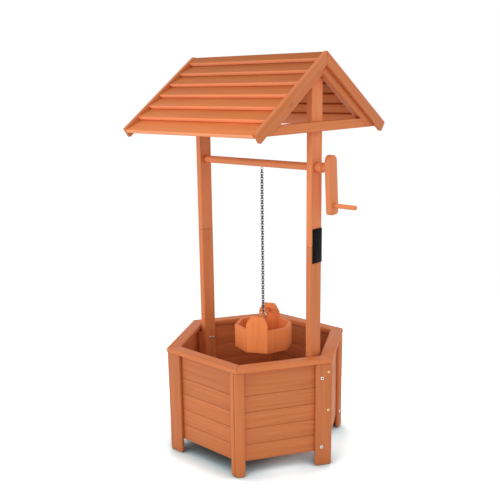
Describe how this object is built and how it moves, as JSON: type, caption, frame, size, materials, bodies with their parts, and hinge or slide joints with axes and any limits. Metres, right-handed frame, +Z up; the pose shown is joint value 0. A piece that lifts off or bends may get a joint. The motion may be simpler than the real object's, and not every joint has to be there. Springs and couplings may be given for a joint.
{
  "type": "wishing well planter",
  "caption": "Six sided wooden garden planter made as a wishing well, with a boarded roof on two posts, a hand crank windlass, and a wooden bucket on a chain.",
  "frame": {"origin": "on the ground at the centre of the six sided base, midway between the two posts", "axes": "+Z up; +X along the windlass axle towards the crank; +Y to the back, square to the ridge"},
  "size_m": [0.6257, 0.5522, 1.1519],
  "materials": {
    "stained_softwood": "satin",
    "zinc_steel": "satin",
    "brass": "polished",
    "black_steel": "satin"
  },
  "bodies": {
    "well": {"wall_front_boards": "stained_softwood", "wall_front_leg_left": "stained_softwood", "wall_front_leg_right": "stained_softwood", "rim_front": "stained_softwood", "wall_front_right_boards": "stained_softwood", "wall_front_right_leg_left": "stained_softwood", "wall_front_right_leg_right": "stained_softwood", "rim_front_right": "stained_softwood", "wall_back_right_boards": "stained_softwood", "wall_back_right_leg_left": "stained_softwood", "wall_back_right_leg_right": "stained_softwood", "rim_back_right": "stained_softwood", "wall_back_boards": "stained_softwood", "wall_back_leg_left": "stained_softwood", "wall_back_leg_right": "stained_softwood", "rim_back": "stained_softwood", "wall_back_left_boards": "stained_softwood", "wall_back_left_leg_left": "stained_softwood", "wall_back_left_leg_right": "stained_softwood", "rim_back_left": "stained_softwood", "wall_front_left_boards": "stained_softwood", "wall_front_left_leg_left": "stained_softwood", "wall_front_left_leg_right": "stained_softwood", "rim_front_left": "stained_softwood", "floor_slats": "stained_softwood", "floor_cleats": "stained_softwood", "post_lower_right": "stained_softwood", "post_upper_right": "stained_softwood", "post_lower_left": "stained_softwood", "post_upper_left": "stained_softwood", "post_block_right": "stained_softwood", "post_block_left": "stained_softwood", "joining_plates": "black_steel", "tie_beam_right": "stained_softwood", "rafter_right_front": "stained_softwood", "rafter_right_back": "stained_softwood", "bargeboard_right_front": "stained_softwood", "bargeboard_right_back": "stained_softwood", "tie_beam_left": "stained_softwood", "rafter_left_front": "stained_softwood", "rafter_left_back": "stained_softwood", "bargeboard_left_front": "stained_softwood", "bargeboard_left_back": "stained_softwood", "roof_boards_front": "stained_softwood", "roof_boards_back": "stained_softwood", "chain": "zinc_steel", "wall_bolts": "zinc_steel", "wall_screws": "brass", "plate_screws": "black_steel"},
    "windlass": {"axle": "stained_softwood", "axle_collar": "stained_softwood", "crank_arm": "stained_softwood", "crank_grip": "stained_softwood", "screw_eye": "zinc_steel"},
    "hanger": {"bucket_ring": "zinc_steel"},
    "bucket": {"bucket_staves": "stained_softwood", "bucket_ear_front": "stained_softwood", "bucket_ear_back": "stained_softwood", "bucket_floor": "stained_softwood", "bucket_handle": "stained_softwood"}
  },
  "joints": [
    {"name": "windlass_turn", "type": "hinge", "parent": "well", "child": "windlass", "pos_m": [0, 0, 0.853], "axis": [1, 0, 0], "range_deg": [0, 1800]},
    {"name": "bucket_lift", "type": "slide", "parent": "well", "child": "hanger", "axis": [0, 0, 1], "range_m": [0, 0.36], "deforming": ["chain"]},
    {"name": "bucket_tilt", "type": "hinge", "parent": "hanger", "child": "bucket", "pos_m": [0.024, 0, 0.398], "axis": [-0.4648, 0.8854, 0], "range_deg": [-45, 45]}
  ],
  "couplings": [
    {"joint": "bucket_lift", "follows": "windlass_turn", "m_per_rad": 0.011458}
  ]
}
